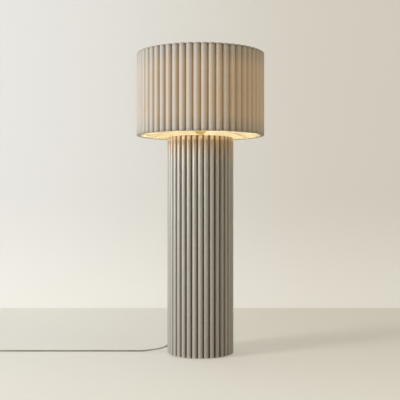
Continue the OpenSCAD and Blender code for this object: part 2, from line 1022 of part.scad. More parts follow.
module switch_block() {
    color(c_ceramic)
        on_switch()
            translate([-block_w / 2, -block_d / 2, block_z]) {
                cube([block_w, block_d, block_h]);
                for (x = [0, block_w - stop_w])
                    translate([x, 0, 0])
                        cube([stop_w, block_d, stop_z - block_z]);
            }
}

module switch_screws() {
    color(c_steel)
        on_switch() {
            switch_screw_holes(screw_sunk, screw_head_h - screw_sunk, screw_head_d);
            switch_screw_holes(screw_sunk, switch_h - 2 * switch_wall - 2 - screw_sunk, screw_d);
        }
}

// Boots where the cord enters and leaves the foot switch
module switch_boots() {
    inside = 5;
    start = switch_r - switch_wall - inside;
    color(c_cord)
        on_switch()
            for (side = [0, 180])
                rotate(side)
                    translate([start, 0, switch_cord_z])
                        rotate([0, 90, 0])
                            rotate_extrude($fn = 48)
                                polygon([
                                    [0, 0], [switch_boot_r, 0],
                                    [switch_boot_r, inside + switch_wall + 1],
                                    [boot_tip_r, inside + switch_wall + switch_boot_out],
                                    [0, inside + switch_wall + switch_boot_out]
                                ]);
}

// Plug, lying flat beside the coil with its pins to the rear
module plug_outline() {
    r = plug_t / 2;
    square([plug_w - plug_t, plug_t], center = true);
    for (side = [-1, 1])
        translate([side * (plug_w / 2 - r), 0])
            circle(r = r, $fn = 48);
}

module along_plug(s) {
    translate([plug_x, plug_y + s, plug_z])
        rotate([-90, 0, 0])
            children();
}

module plug_body() {
    color(c_cord)
        union() {
            along_plug(plug_boot_len + plug_shoulder)
                linear_extrude(plug_len)
                    plug_outline();
            hull() {
                along_plug(plug_boot_len + plug_shoulder)
                    linear_extrude(0.5)
                        plug_outline($fn = 32);
                along_plug(plug_boot_len)
                    cylinder(r = plug_boot_r + 0.8, h = 0.5, $fn = 32);
            }
        }
}

module plug_boot() {
    color(c_cord)
        along_plug(0)
            cylinder(r1 = boot_tip_r, r2 = plug_boot_r, h = plug_boot_len, $fn = 48);
}

module plug_pins() {
    color(c_brass)
        for (side = [-1, 1])
            translate([side * pin_gap / 2, 0, 0])
                along_plug(plug_boot_len + plug_shoulder + plug_len) {
                    cylinder(d = pin_d, h = pin_len - pin_d / 2, $fn = 32);
                    translate([0, 0, pin_len - pin_d / 2])
                        sphere(d = pin_d, $fn = 32);
                }
}

column_shell();
top_plate();
base_weight();
felt_pad();
stem();
stem_nuts();
stem_washers();
neck_collar();
holder_cup();
holder_sleeve();
holder_insert();
holder_screw_shell();
holder_contact();
clamp_ring();
bulb_tip();
bulb_cap();
bulb_housing();
bulb_globe();
shade_skin();
shade_liner();
shade_hem_bottom();
shade_hem_top();
shade_fitter();
shade_top_ring();
inner_lead();
stem_wires();
cord_boot();
cord_run();
cord_link();
cord_coil();
cord_tail();
coil_tie();
switch_base();
switch_cover();
switch_button();
switch_spring();
switch_block();
switch_screws();
switch_boots();
plug_body();
plug_boot();
plug_pins();
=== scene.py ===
# %% [markdown]
# # Drum shade floor lamp
# A reeded column stands on the floor and carries a wide fluted drum shade. The lamp is lit.
# The solids come packed from the CAD model, in metres, with the floor at z = 0 and the viewer
# at -Y. They never move here. This lesson adds the camera, the soft cord, finer reeded
# surfaces, a few small fittings, a finish for every piece, and the light.

# %% Load the solids
import json
import math

import bpy
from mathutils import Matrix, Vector


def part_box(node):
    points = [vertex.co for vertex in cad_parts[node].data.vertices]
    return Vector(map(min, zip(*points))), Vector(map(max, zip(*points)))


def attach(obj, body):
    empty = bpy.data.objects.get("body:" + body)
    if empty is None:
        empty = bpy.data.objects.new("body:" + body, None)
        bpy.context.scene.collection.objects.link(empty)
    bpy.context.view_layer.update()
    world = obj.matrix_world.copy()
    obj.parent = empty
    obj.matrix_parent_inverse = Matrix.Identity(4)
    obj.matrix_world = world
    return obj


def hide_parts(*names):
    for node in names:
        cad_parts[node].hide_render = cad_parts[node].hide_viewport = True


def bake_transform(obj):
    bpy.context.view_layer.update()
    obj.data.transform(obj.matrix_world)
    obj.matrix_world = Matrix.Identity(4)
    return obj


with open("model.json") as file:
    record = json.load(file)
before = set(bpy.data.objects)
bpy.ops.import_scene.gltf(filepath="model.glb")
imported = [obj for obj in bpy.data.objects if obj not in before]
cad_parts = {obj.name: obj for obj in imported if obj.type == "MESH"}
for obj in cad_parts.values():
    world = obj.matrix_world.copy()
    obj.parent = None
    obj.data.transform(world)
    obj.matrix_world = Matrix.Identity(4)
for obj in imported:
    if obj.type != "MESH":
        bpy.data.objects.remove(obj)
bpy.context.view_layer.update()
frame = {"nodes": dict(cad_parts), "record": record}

nodes = frame["nodes"]

# %% [markdown]
# ## Camera
# The photo was taken from straight in front, level, at half the lamp's height. A long lens was
# far enough away that the shade's upper and lower edges are flat curves. A small upward shift
# puts the horizon just under the middle of the picture, where the photo has it.

# %% Camera
picture_px = 400
focal_px = 796
horizon_px = 202
sensor_mm = 36
camera_spot = (-0.0016, -3.175, 0.602)


def object_from(name, data):
    made = bpy.data.objects.new(name, data)
    bpy.context.scene.collection.objects.link(made)
    return made


lens = bpy.data.cameras.new("photo_lens")
lens.sensor_width = sensor_mm
lens.lens = sensor_mm * focal_px / picture_px
lens.shift_y = (horizon_px - picture_px / 2) / picture_px
camera = object_from("photo_camera", lens)
camera.location = camera_spot
camera.rotation_euler = (math.radians(90), 0, 0)
bpy.context.scene.camera = camera
bpy.context.scene.view_settings.view_transform = "Standard"
print("lens", round(lens.lens, 2), "mm, camera", list(camera.location))

# %% [markdown]
# ## Where the cord runs
# The cord leaves a groove low on the column's left, comes down to the floor and lies straight.
# Its first points are on the boot's tilted axis, worked out from the column's sizes. A quirk is
# the narrow flat between two reeds, and the bead is the rim that keeps the boot in the wall.
# The other points are the ones that the CAD model uses, in millimetres.

# %% Points of the cord
mm = 0.001
front_deg = -90
up, to_column = Vector((0, 0, 1)), Vector((1, 0, 0))

reeds = 35
column_d = 264
column_quirk = 1
wall_t = 6
reed_sine = math.sin(math.pi / reeds)
column_core = (column_d / 2 + column_quirk / 2) / (1 + reed_sine)

cord_d = 6
cord_y = 30
exit_reed, exit_z = 25.5, 31
exit_turn = math.radians(front_deg + exit_reed * 360 / reeds)
boot_tilt = math.radians(24)
boot_tail = 24
bead_r, bead_t = 6.4, 3
seat_gap = 0.3
lead_start = (wall_t + bead_r * math.sin(boot_tilt) + seat_gap) / math.cos(boot_tilt) + bead_t

switch_at = Vector((-902, cord_y, 7))
switch_r = 32
switch_tip = switch_r + 12


def out_of(turn, r, z):
    """A point at a direction, a distance from the column's axis and a height."""
    return Vector((r * math.cos(turn), r * math.sin(turn), z))


def boot_point(s):
    """A point on the boot's axis, s beyond the floor of its groove."""
    return out_of(exit_turn, column_core + s * math.cos(boot_tilt),
                  exit_z - s * math.sin(boot_tilt))


run_route = [boot_point(boot_tail), boot_point(boot_tail + 12)]
run_route += [Vector(p) for p in [
    (-175, 24, 11), (-195, 26, 8.4), (-215, 28, 5.2), (-235, 29, 3)]]
run_route += [Vector((x, cord_y, z)) for x, z in [
    (-260, 3), (-320, 3), (-400, 3), (-480, 3), (-560, 3), (-640, 3), (-720, 3), (-790, 3),
    (-815, 3), (-830, 4), (-844, 7)]]
run_route.append(switch_at + switch_tip * to_column)
link_route = [switch_at - switch_tip * to_column]
link_route += [Vector((x, cord_y, z)) for x, z in [
    (-952, 7), (-960, 5), (-965, 4.3), (-970, 4.3)]]
lead_route = [boot_point(-lead_start), boot_point(-lead_start - 12)]
lead_route += [out_of(exit_turn, r, z) for r, z in [
    (78, 48), (60, 57), (44, 73), (30, 92), (18, 110), (6, 130)]]
print("the cord leaves at", [round(x, 1) for x in run_route[0]])

# %% [markdown]
# A cord bends evenly, so its line is a B-spline: each stretch of the curve is a weighted mean
# of four neighbouring points. A mirrored point beyond each end makes it start on its end point.

# %% Smooth lines
def spline(route, step):
    """Points every step or so along the B-spline of a route."""
    held = [2 * route[0] - route[1], *route, 2 * route[-1] - route[-2]]
    line = []
    for i in range(len(route) - 1):
        a, b, c, d = held[i:i + 4]
        parts = max(1, round((route[i + 1] - route[i]).length / step))
        for k in range(parts):
            t = k / parts
            u = 1 - t
            line.append((u**3 * a + (3 * t**3 - 6 * t**2 + 4) * b
                         + (3 * u**3 - 6 * u**2 + 4) * c + t**3 * d) / 6)
    return line + [route[-1]]


def length_of(line):
    return sum((b - a).length for a, b in zip(line, line[1:]))


run_line = spline(run_route, 6)
link_line = spline(link_route, 3)
print("run", round(length_of(run_line)), "mm, link", round(length_of(link_line)), "mm")

# %% [markdown]
# The length that the photo doesn't show is put away in a flat coil of two layers. The lower
# layer spirals in, the cord climbs during half a turn, and the upper layer spirals out again.
# From its outermost point, a short tail runs down to the plug.

# %% The coil's line
coil_turns = 6.25
coil_pitch = 6.6
coil_mean_r = 36
coil_spread = coil_pitch * coil_turns / 4
coil_in_r = coil_mean_r - coil_spread
coil_out_r = coil_mean_r + coil_spread
coil_centre = Vector((-976, cord_y + coil_out_r, 0))
coil_low_z = 4.3
coil_high_z = coil_low_z + coil_pitch
coil_end = coil_turns * math.tau


def coil_point(a):
    """The coil after turning by a, clockwise from its nearest point."""
    r = coil_in_r + coil_pitch * abs(a - coil_end / 2) / math.tau
    climb = min(1, max(0, (a - coil_end / 2) / math.pi + 0.5))
    turn = -math.pi / 2 - a
    return coil_centre + out_of(turn, r, coil_low_z + coil_pitch * climb)


tail_x = coil_centre.x - coil_out_r
plug_y, plug_z = 138, 6.85
tail_route = [Vector((tail_x, y, z)) for y, z in [
    (coil_centre.y + cord_d, coil_high_z), (88, coil_high_z), (96, 9), (105, plug_z),
    (118, plug_z)]]
points_per_turn = 40
coil_steps = round(coil_turns * points_per_turn)
coil_line = [link_route[-1]]
coil_line += [coil_point(coil_end * i / coil_steps) for i in range(coil_steps + 1)]
coil_line += [tail_route[0]]
end_line = link_line + coil_line[1:] + spline(tail_route, 3)[1:]
print("coil", round(length_of(coil_line)), "mm in", coil_turns, "turns")

# %% [markdown]
# ## A tube along a line
# The cord's jacket is a tube of rings. Each ring is turned from the one before by the least
# amount, so that the jacket never twists. A UV map follows it, around in turns and along in
# metres, for finishes that run with the cord.

# %% Tube
def mesh_from(name, points, faces=()):
    mesh = bpy.data.meshes.new(name)
    mesh.from_pydata(points, [], faces)
    return mesh


def smooth(mesh, sharp_over=35):
    """Smooth faces, but edges that bend more than some degrees stay sharp."""
    mesh.shade_smooth()
    mesh.set_sharp_from_angle(angle=math.radians(sharp_over))


def ring_faces(rings, sides):
    """Faces between rings of points, and one over each end."""
    around = [(i * sides + k, i * sides + (k + 1) % sides,
               (i + 1) * sides + (k + 1) % sides, (i + 1) * sides + k)
              for i in range(rings - 1) for k in range(sides)]
    return around + [tuple(range(sides))[::-1], tuple(range((rings - 1) * sides, rings * sides))]


def leg(a, b):
    return (b - a).normalized()


def tube(name, line, d, sides, first=None, last=None):
    """A closed tube round a line given in millimetres."""
    count = len(line)
    headings = [leg(line[max(i - 1, 0)], line[min(i + 1, count - 1)]) for i in range(count)]
    headings[0] = first or headings[0]
    headings[-1] = last or headings[-1]
    side = headings[0].orthogonal().normalized()
    points = []
    for here, heading in zip(line, headings):
        side = (side - side.dot(heading) * heading).normalized()
        across = heading.cross(side)
        for k in range(sides):
            w = math.tau * k / sides
            points.append((here + d / 2 * (math.cos(w) * side + math.sin(w) * across)) * mm)
    mesh = mesh_from(name, points, ring_faces(count, sides))
    along = [0.0]
    for a, b in zip(line, line[1:]):
        along.append(along[-1] + (b - a).length * mm)
    uv = mesh.uv_layers.new(name="jacket").data
    for face in mesh.polygons:
        seam = face.index % sides == sides - 1 and face.index < (count - 1) * sides
        for corner in face.loop_indices:
            ring, k = divmod(mesh.loops[corner].vertex_index, sides)
            uv[corner].uv = ((sides if seam and k == 0 else k) / sides, along[ring])
    smooth(mesh)
    return object_from(name, mesh)


# %% [markdown]
# There are two free cords, because the foot switch parts them: one from the column to the
# switch, and one from the switch through the coil to the plug. The lead inside the column is
# the same cable, held all the way. Every finer piece is fitted in the same way: it rides on a
# body and takes the place of its solids.

# %% Cords
def fit(piece, body, slot, *solids):
    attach(piece, body)
    if solids:
        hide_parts(*solids)


run = tube("mains_cord", run_line, cord_d, 16, leg(*run_route[:2]), leg(*run_route[-2:]))
coil = tube("coiled_cord", end_line, cord_d, 16, leg(*link_route[:2]), leg(*tail_route[-2:]))
lead = tube("lead_in_column", spline(lead_route, 6), cord_d, 12, leg(*lead_route[:2]))
fit(run, "stand", "cord", "cord_run")
fit(coil, "stand", "cord", "cord_link", "cord_coil", "cord_tail")
fit(lead, "stand", "cord", "inner_lead")
print("whole cord", round(length_of(run_line) + 2 * switch_tip + length_of(end_line)), "mm")

# %% [markdown]
# ## Writing nodes as sums
# Shader and Geometry Nodes trees share their Math nodes. One small class wraps a socket, so
# that a sum written in Python adds its Math nodes, and one method makes any other node.

# %% Node helper
def operator(operation, swapped=False):
    """A method that adds a Math node. Swapped, it takes the other number first."""
    def apply(self, other):
        return self.sheet.maths(operation, *((other, self) if swapped else (self, other)))
    return apply


class Value:
    """A socket that can be used in sums."""

    def __init__(self, sheet, socket):
        self.sheet, self.socket = sheet, socket

    def maths(self, operation, *others):
        return self.sheet.maths(operation, self, *others)

    __add__ = __radd__ = operator("ADD")
    __mul__ = __rmul__ = operator("MULTIPLY")
    __sub__, __rsub__ = operator("SUBTRACT"), operator("SUBTRACT", swapped=True)
    __truediv__, __rtruediv__ = operator("DIVIDE"), operator("DIVIDE", swapped=True)
    __mod__, __pow__ = operator("FLOORED_MODULO"), operator("POWER")


class Sheet:
    """A node tree that is filled by one method."""

    def __init__(self, tree):
        self.tree = tree

    def node(self, kind, settings=None, inputs=None, out=None):
        """Adds a node, sets it, fills its sockets by name or in order, and gives an output."""
        made = self.tree.nodes.new(kind)
        for key, value in (settings or {}).items():
            setattr(made, key, value)
        shown = [s for s in made.inputs if s.enabled]
        pairs = inputs.items() if isinstance(inputs, dict) else enumerate(inputs or [])
        for key, value in pairs:
            named = (s for s in shown if s.name == key)
            socket = shown[key] if isinstance(key, int) else next(named)
            if isinstance(value, Value):
                self.tree.links.new(value.socket, socket)
            else:
                socket.default_value = value
        ready = [s for s in made.outputs if s.enabled]
        return Value(self, next(s for s in ready if out in (None, s.name)))

    def maths(self, operation, *values):
        return self.node("ShaderNodeMath", {"operation": operation}, values)

    def parts(self, vector):
        """The three numbers of a vector."""
        x = self.node("ShaderNodeSeparateXYZ", None, [vector])
        return [Value(self, s) for s in x.socket.node.outputs]

    def vector(self, x, y, z=0.0):
        return self.node("ShaderNodeCombineXYZ", None, [x, y, z])


print("node helper ready")

# %% [markdown]
# ## Finishes
# A finish is one material. It has one Principled shader, whose fixed values are set on its own
# sockets, and whose colour, roughness and bump come from patterns. Patterns read the object's
# own coordinates or its map, so that they stay on the piece when it moves.

# %% Finish helper
def paint(colour):
    """A colour picked on a screen, from 0 to 255, as the light that it stands for."""
    shares = [c / 255 for c in colour]
    return (*(c / 12.92 if c <= 0.04045 else ((c + 0.055) / 1.055) ** 2.4 for c in shares), 1.0)


class Finish(Sheet):
    """A material with one Principled shader."""

    def __init__(self, name, **fixed):
        self.material = bpy.data.materials.new(name)
        self.material.use_nodes = True
        super().__init__(self.material.node_tree)
        self.tree.nodes.clear()
        self.shader = self.tree.nodes.new("ShaderNodeBsdfPrincipled")
        self.output = self.tree.nodes.new("ShaderNodeOutputMaterial")
        self.tree.links.new(self.shader.outputs[0], self.output.inputs["Surface"])
        for key, value in fixed.items():
            self.shader.inputs[key.replace("_", " ")].default_value = value

    def feed(self, name, value):
        self.tree.links.new(value.socket, self.shader.inputs[name])

    def colour(self, *coats):
        self.feed("Base Color", self.mix(*coats))

    def place(self, scale=(1.0, 1.0, 1.0)):
        """The object's own coordinates, in metres, times a scale."""
        own = self.node("ShaderNodeTexCoord", None, None, "Object")
        return self.node("ShaderNodeVectorMath", {"operation": "MULTIPLY"}, [own, scale])

    def own_map(self, name):
        return self.parts(self.node("ShaderNodeUVMap", {"uv_map": name}))

    def noise(self, spot, detail=2.0, rough=0.5):
        """Noise at a spot, or at the object's own coordinates times one number or three."""
        if not isinstance(spot, Value):
            spot = self.place(spot if isinstance(spot, tuple) else (spot, spot, spot))
        return self.node("ShaderNodeTexNoise", None, {
            "Vector": spot, "Scale": 1.0, "Detail": detail, "Roughness": rough}, "Fac")

    def chance(self, number):
        """A random number from 0 to 1 for each whole number."""
        return self.node("ShaderNodeTexWhiteNoise", {"noise_dimensions": "1D"}, [number])

    def between(self, value, low, high):
        """0 below low, 1 above high, and a smooth step from one to the other."""
        return self.node("ShaderNodeMapRange", {"interpolation_type": "SMOOTHSTEP"},
                         [value, low, high, 0.0, 1.0])

    def mix(self, colour, *coats):
        """A colour under coats, each a colour and the share of the surface that it takes."""
        for coat, share in coats:
            a, b = (c if isinstance(c, Value) else paint(c) for c in (colour, coat))
            colour = self.node("ShaderNodeMix", {"data_type": "RGBA"},
                               {"Factor": share, "A": a, "B": b})
        return colour

    def bumped(self, height, depth_mm, strength):
        """The material, with its surface raised by height, from 0 to 1, times a depth."""
        normal = self.node("ShaderNodeBump", None, {
            "Strength": strength, "Distance": depth_mm * mm, "Height": height})
        self.feed("Normal", normal)
        return self.material


print("finish helper ready")

# %% [markdown]
# ### Column
# The reeds are stained a pale taupe under a thin satin lacquer, which gives each one a narrow
# bright line. Grain shows as long soft streaks, and no two reeds take the stain quite alike.
# The grooves are painted dark and each reed's flanks browner than its crest, as painted shade,
# and the lower column is painted darker towards the foot, also painted shade. The top is painted
# a warm tan, and its rounded ends pale, as painted lamplight, and the lamp's heat has dulled its
# lacquer there. The rounded ends at the foot are painted paler too.

# %% Column finish
def column_finish():
    f = Finish("taupe_stained_wood", Specular_IOR_Level=0.5, Coat_Roughness=0.18)
    reed, height, _ = f.own_map("reeds")
    tone = f.chance(reed.maths("FLOOR"))
    aside = 2 * (reed.maths("FRACT") - 0.5).maths("ABSOLUTE")
    # Painted shade: the grooves between the reeds are painted dark.
    groove = f.between(aside, 0.26, 0.82)
    streaks = f.noise((70, 70, 2.2), 4.0, 0.6)
    pores = f.noise((900, 900, 30), 3.0, 0.65)
    clouds = f.noise(5.0, 3.0)
    # Painted lamplight: the rounded top ends are painted pale, and the rounded foot ends a little
    # paler.
    lamplit_tops_pale_feet = f.between(height, 0.835, 0.852) + 0.3 * (1 - f.between(height, 0.003, 0.012))
    # Painted shade: the column is painted darker towards the foot.
    foot_shade = 1 - f.between(height, 0.03, 0.40)
    # Painted lamplight: the top of the column is painted a warm tan.
    painted_lamplight_top = f.between(height, 0.745, 0.856)
    dulled = f.between(height, 0.79, 0.85)
    # The painted groove shade turns warmer near the top, as painted lamplight.
    painted_groove_shade = f.mix((88, 71, 53), ((150, 102, 56), f.between(height, 0.80, 0.856)))
    f.colour(
        (159, 158, 152),
        ((145, 142, 133), f.between(streaks, 0.32, 0.7)),
        ((168, 167, 162), 0.35 * tone),
        ((158, 151, 140), 0.35 * f.between(clouds, 0.4, 0.75)),
        ((130, 122, 110), 0.30 * f.between(pores, 0.55, 0.75)),
        ((132, 126, 114), 0.20 * foot_shade),
        ((172, 131, 82), 0.61 * painted_lamplight_top),
        ((252, 230, 186), 0.60 * lamplit_tops_pale_feet * (1 - groove)),
        # Painted shade: each reed's flanks are painted browner than its crest.
        ((150, 128, 102), 0.35 * f.between(aside, 0.1, 0.7)),
        (painted_groove_shade, 0.85 * groove))
    f.feed("Roughness", 0.33 + 0.12 * streaks + 0.25 * groove)
    f.feed("Coat Weight", 0.6 - 0.55 * dulled)
    return f.bumped(0.6 * pores + 0.4 * streaks, 0.25, 0.5)


def plate_finish():
    """The plate on the column is flat stock of the same wood, so its grain runs one way."""
    f = Finish("taupe_stained_plate", Specular_IOR_Level=0.4)
    grain = f.noise((4, 60, 60), 5.0, 0.65)
    pores = f.noise((45, 900, 900), 3.0, 0.6)
    clouds = f.noise(14.0, 3.0)
    f.colour(
        (176, 166, 151),
        ((146, 134, 117), f.between(grain, 0.35, 0.68)),
        ((118, 104, 86), 0.4 * f.between(pores, 0.52, 0.75)),
        ((160, 140, 112), 0.4 * f.between(clouds, 0.4, 0.7)))
    f.feed("Roughness", 0.45 + 0.2 * grain)
    return f.bumped(0.6 * pores + 0.4 * grain, 0.2, 0.5)


finishes = {"column_finish": column_finish(), "plate": plate_finish()}
print("finishes:", len(finishes))

# %% [markdown]
# ### Shade
# The flutes are covered in linen. Its threads cross about every millimetre, some are thicker
# for a while, and the lamp inside glows through, most at mid height and least at the bands,
# which hide the wires. The flanks of the flutes are painted a darker tan than the crests, and
# the valleys darker still, with less glow, as painted shade. The bands are folded double and
# have tanned most.

# %% Shade cloth
warp_per_flute = 38
weft_w = 0.8 * mm
black = (0, 0, 0)


def linen(name, glow, warm):
    """Linen over flutes: glow is how much lamplight shows through, warm how tanned it is."""
    f = Finish(name, Roughness=0.5, Specular_IOR_Level=0.35, Sheen_Weight=0.1,
               Sheen_Roughness=0.6, Emission_Strength=1.0)
    flute, height, _ = f.own_map("reeds")
    warp = (flute * (math.pi * warp_per_flute)).maths("COSINE")
    weft = (height * (math.pi / weft_w)).maths("COSINE")
    weave = 0.5 + 0.5 * warp * weft
    long_slub = f.noise(f.vector(flute * 30, height * 9))
    cross_slub = f.noise(f.vector(flute * 1.1, height * 900))
    slub = f.between(long_slub, 0.6, 0.75) + f.between(cross_slub, 0.62, 0.78)
    clouds = f.noise(14.0, 4.0, 0.6)
    aside = 2 * (flute.maths("FRACT") - 0.5).maths("ABSOLUTE")
    # Painted shade: the valleys are painted darker and given less glow.
    valley_shade = f.between(aside, 0.50, 0.96)
    f.colour(
        (159, 167, 170),
        ((146, 148, 146), 0.55 * (1 - weave)),
        ((156, 146, 130), 0.30 * slub),
        ((152, 132, 104), warm + 0.2 * f.between(clouds, 0.35, 0.75)),
        # Painted shade: the flanks are painted a darker tan than the crests.
        ((140, 120, 92), 0.10 + 0.30 * f.between(aside, 0.0, 0.5)),
        ((106, 97, 84), 0.7 * valley_shade))
    middle = f.between(height, 0.868, 0.94) * (1 - f.between(height, 1.10, 1.186))
    near = 0.44 + 0.48 * middle - 0.06 * valley_shade
    f.feed("Emission Color", f.mix(
        black, ((255, 190, 100), near * glow), (black, 0.25 * slub)))
    return f.bumped(0.7 * weave + 0.3 * slub, 0.18, 0.5)


finishes["shade_cloth"] = linen("lit_linen", 0.18, 0.0)
finishes["shade_hem"] = linen("linen_over_band", 0.07, 0.30)
print("finishes:", len(finishes))

# %% [markdown]
# ### Liner and bulb
# The liner is a stiff cream film with fine fibres in it and one lapped seam at the back. The
# bulb is the only strong light in the lamp: its opal globe shines, less near its collar.

# %% Liner and bulb finishes
def liner_finish():
    f = Finish("cream_liner", Specular_IOR_Level=0.3)
    fibres = f.noise((160, 160, 420), 5.0, 0.7)
    clouds = f.noise(12.0, 3.0)
    x, y, _ = f.parts(f.place())
    seam = (1 - f.between(x.maths("ABSOLUTE"), 0.0035, 0.0045)) * f.between(y, 0.0, 0.01)
    f.colour(
        (243, 239, 220),
        ((235, 228, 204), f.between(fibres, 0.35, 0.7)),
        ((228, 219, 194), 0.5 * f.between(clouds, 0.4, 0.8)),
        ((214, 196, 160), 0.5 * seam))
    f.feed("Roughness", 0.55 + 0.2 * fibres)
    return f.bumped(fibres * 0.4 + seam, 0.15, 0.4)


def globe_finish():
    f = Finish("lit_opal_globe", Roughness=0.35, Emission_Strength=59.0)
    frost = f.noise(900.0)
    open_side = f.between(f.parts(f.place())[2], 0.966, 0.982)
    f.colour((250, 244, 228), ((240, 230, 208), frost))
    f.feed("Emission Color", f.mix((214, 160, 104), ((255, 246, 220), open_side)))
    return f.bumped(frost, 0.02, 0.3)


finishes["shade_liner"] = liner_finish()
finishes["opal"] = globe_finish()
print("finishes:", len(finishes))

# %% [markdown]
# ### Metals
# The brass and nickel pieces are turned, so fine rings run round them, and the same rings make
# the polish uneven. The zinc pieces are bought hardware with a dull, cloudy skin. Powder on the
# fitter's wires dries with a fine dimpled skin, and so does the paint on the cast weight.

# %% Metal finishes
rings_per_m = 2400


def turned_metal(name, light, dark, rough, metal=1.0):
    f = Finish(name, Metallic=metal)
    height = f.parts(f.place())[2]
    rings = f.noise(f.vector(0.0, 0.0, height * rings_per_m))
    tarnish = f.noise(90.0, 4.0, 0.6)
    spots = f.between(tarnish, 0.55, 0.8)
    f.colour(light, (dark, 0.4 * rings), (dark, 0.6 * spots))
    f.feed("Roughness", rough + 0.12 * rings + 0.2 * spots)
    return f.bumped(rings, 0.03, 0.5)


def zinc_finish():
    f = Finish("zinc_plated_steel", Metallic=1.0)
    spangle = f.noise(260.0, 5.0, 0.7)
    f.colour((205, 206, 208), ((160, 162, 166), spangle))
    f.feed("Roughness", 0.3 + 0.3 * spangle)
    return f.bumped(spangle, 0.03, 0.4)


def powder_coat(name, light, dark, grain, rough):
    f = Finish(name, Specular_IOR_Level=0.45)
    dimples = f.noise(grain)
    dust = f.noise(25.0, 4.0)
    f.colour(light, (dark, 0.25 * dimples + 0.5 * f.between(dust, 0.45, 0.8)))
    f.feed("Roughness", rough + 0.15 * dimples)
    return f.bumped(dimples, 0.05, 0.4)


finishes["brass"] = turned_metal("lacquered_brass", (255, 236, 180), (244, 214, 148), 0.45, 0.3)
finishes["nickel"] = turned_metal("nickel_plate", (222, 218, 208), (176, 170, 158), 0.2)
finishes["zinc_steel"] = zinc_finish()
finishes["white_wire"] = powder_coat(
    "cream_powder_coat", (240, 232, 212), (222, 210, 184), 1400.0, 0.38)
finishes["cast_weight"] = powder_coat("painted_cast_iron", (74, 73, 72), (50, 48, 46), 420.0, 0.6)
print("finishes:", len(finishes))

# %% [markdown]
# ### Plastics, porcelain, felt and strap
# Moulded plastic has a fine spark-eroded grain that is a little smoother where it is touched.
# Porcelain has a wavy glaze with a few dark specks. Felt and the strap are fibres: felt lies
# every way, and the strap is woven in straight lines.

# %% Other finishes
def moulded(name, light, dark, rough):
    f = Finish(name, Specular_IOR_Level=0.4)
    grain = f.noise(2600.0, 1.0)
    scuffs = f.noise((60, 300, 60), 5.0, 0.7)
    worn = f.between(f.noise(35.0, 3.0), 0.4, 0.7)
    f.colour(light, (dark, 0.3 * grain + 0.4 * f.between(scuffs, 0.55, 0.8)))
    f.feed("Roughness", rough + 0.12 * grain - 0.1 * worn)
    return f.bumped(grain, 0.03, 0.5)


def porcelain_finish():
    f = Finish("glazed_porcelain", Roughness=0.16, Coat_Roughness=0.05)
    waves = f.noise(110.0)
    specks = f.between(f.noise(700.0, 1.0), 0.76, 0.8)
    f.colour((243, 240, 231), ((232, 227, 214), waves), ((120, 104, 84), 0.6 * specks))
    f.feed("Coat Weight", 0.5 + 0.3 * waves)
    return f.bumped(waves, 0.08, 0.4)


def felt_finish():
    f = Finish("pressed_felt", Roughness=0.95, Specular_IOR_Level=0.1, Sheen_Weight=0.3)
    fibres = f.noise((800, 800, 1600), 5.0, 0.75)
    tufts = f.noise(180.0, 3.0)
    f.colour(
        (70, 66, 62), ((104, 98, 92), f.between(fibres, 0.35, 0.7)), ((52, 49, 47), 0.5 * tufts))
    return f.bumped(fibres, 0.3, 0.8)


def strap_finish():
    f = Finish("woven_strap", Roughness=0.8, Specular_IOR_Level=0.25)
    yarn_w, yarn_l = 0.6 * mm, 0.9 * mm
    x, y, z = f.parts(f.place())
    across = (y * (math.pi / yarn_w)).maths("COSINE")
    along = ((x + z) * (math.pi / yarn_l)).maths("COSINE")
    weave = 0.5 + 0.5 * across * along
    f.colour((28, 27, 27), ((62, 60, 58), weave))
    return f.bumped(weave, 0.2, 0.7)


finishes["white_plastic"] = moulded("cream_plastic", (238, 234, 222), (222, 214, 196), 0.42)
finishes["switch_shell"] = moulded("taupe_plastic", (190, 183, 170), (168, 159, 144), 0.45)
finishes["switch_button"] = moulded("button_plastic", (176, 168, 154), (150, 141, 126), 0.4)
finishes["porcelain"] = porcelain_finish()
finishes["felt"] = felt_finish()
finishes["strap"] = strap_finish()
print("finishes:", len(finishes))

# %% [markdown]
# ### Cord
# The cord is a round cable with a matt taupe jacket. Drawing the jacket leaves faint lines
# along it, and the cord's own map makes them follow it: the map's turn becomes a point on a
# circle, so that the pattern has no seam. The boots are moulded from the same compound, with a
# fine grain instead. The floor leaves dull and dusty patches on both.

# %% Cord finish
def cord_finish(name, drawn_lines):
    f = Finish(name, Specular_IOR_Level=0.35)
    spot = 500.0
    if drawn_lines:
        around, along, _ = f.own_map("jacket")
        turn = around * math.tau
        spot = f.vector(5 * turn.maths("COSINE"), 5 * turn.maths("SINE"), along * 8)
    drawn = f.noise(spot, 3.0)
    dust = f.noise(22.0, 4.0, 0.65)
    f.colour(
        (146, 143, 130),
        ((124, 119, 106), f.between(dust, 0.35, 0.75)),
        ((104, 98, 86), 0.3 * drawn))
    f.feed("Roughness", 0.42 + 0.25 * dust)
    return f.bumped(drawn, 0.05, 0.5)


finishes["cord"] = cord_finish("taupe_cord_jacket", drawn_lines=True)
finishes["boot"] = cord_finish("taupe_boot_rubber", drawn_lines=False)
for piece in (run, coil, lead):
    piece.data.materials.append(finishes["cord"])
print("finishes:", len(finishes))

# %% [markdown]
# ### A finish on every solid
# The record says which finish each solid takes. Solids that a finer piece replaces get theirs
# too, so that nothing is ever left bare.

# %% Dress the solids
for subpart in frame["record"]["subparts"]:
    mesh = nodes[subpart["node"]].data
    mesh.materials.clear()
    mesh.materials.append(finishes[subpart["material_slot"]])
nodes["top_plate"].data.materials[0] = finishes["plate"]

# %% [markdown]
# ## Making pieces with Geometry Nodes
# A tree takes named sizes, builds the piece, makes its copies real and sets its material. The
# helper sets the sizes by their sockets' identifiers, turns the result into a plain mesh and
# removes the modifier, so that nothing in the piece is live. Counting in a tree is done with
# fractions, and a small nudge keeps a rounding error from losing a whole number.

# %% Geometry Nodes helper
SOCKETS = {int: "NodeSocketInt", float: "NodeSocketFloat", tuple: "NodeSocketVector"}
nudge = 0.001
same_spot = 0.002 * mm


